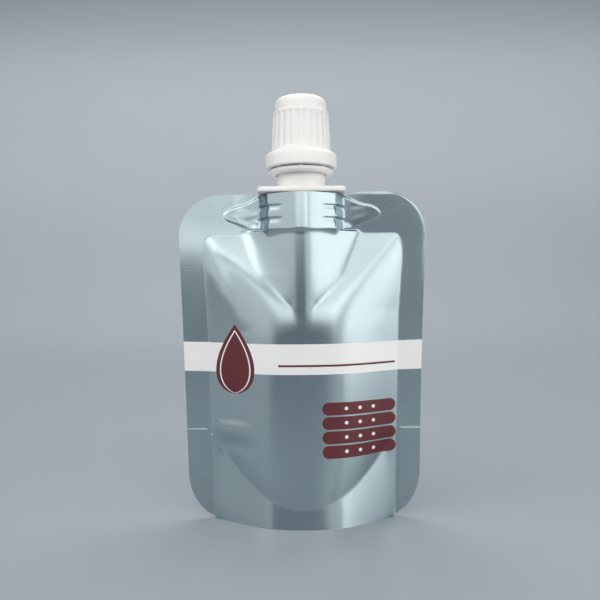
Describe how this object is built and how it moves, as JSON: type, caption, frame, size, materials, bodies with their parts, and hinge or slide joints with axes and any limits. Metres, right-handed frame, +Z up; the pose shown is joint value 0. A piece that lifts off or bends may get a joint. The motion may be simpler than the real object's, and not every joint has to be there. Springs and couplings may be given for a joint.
{
  "type": "spout pouch",
  "caption": "Small filled stand-up film pouch with flat sealed edges, a folded base, a welded spout and a fluted white screw cap over a tamper ring.",
  "frame": {"origin": "on the ground under the middle of the pouch", "axes": "+Z up along the spout, +X to the right seen from the front, front face towards -Y"},
  "size_m": [0.06, 0.0212, 0.1015],
  "materials": {
    "film": "satin blue-grey metallised film",
    "white_plastic": "satin moulded"
  },
  "bodies": {
    "filled_pouch": {"pouch": "film", "spout": "white_plastic"},
    "ring": {"tamper_ring": "white_plastic"},
    "screw_cap": {"cap": "white_plastic"}
  },
  "joints": [
    {"name": "cap_turn", "type": "hinge", "parent": "filled_pouch", "child": "ring", "pos_m": [0, 0, 0.0834], "axis": [0, 0, 1], "range_deg": [0, 540]},
    {"name": "cap_rise", "type": "slide", "parent": "ring", "child": "screw_cap", "axis": [0, 0, 1], "range_m": [0, 0.0045]}
  ],
  "couplings": [
    {"joint": "cap_turn", "follows": "cap_rise", "rad_per_m": 2094.3}
  ]
}
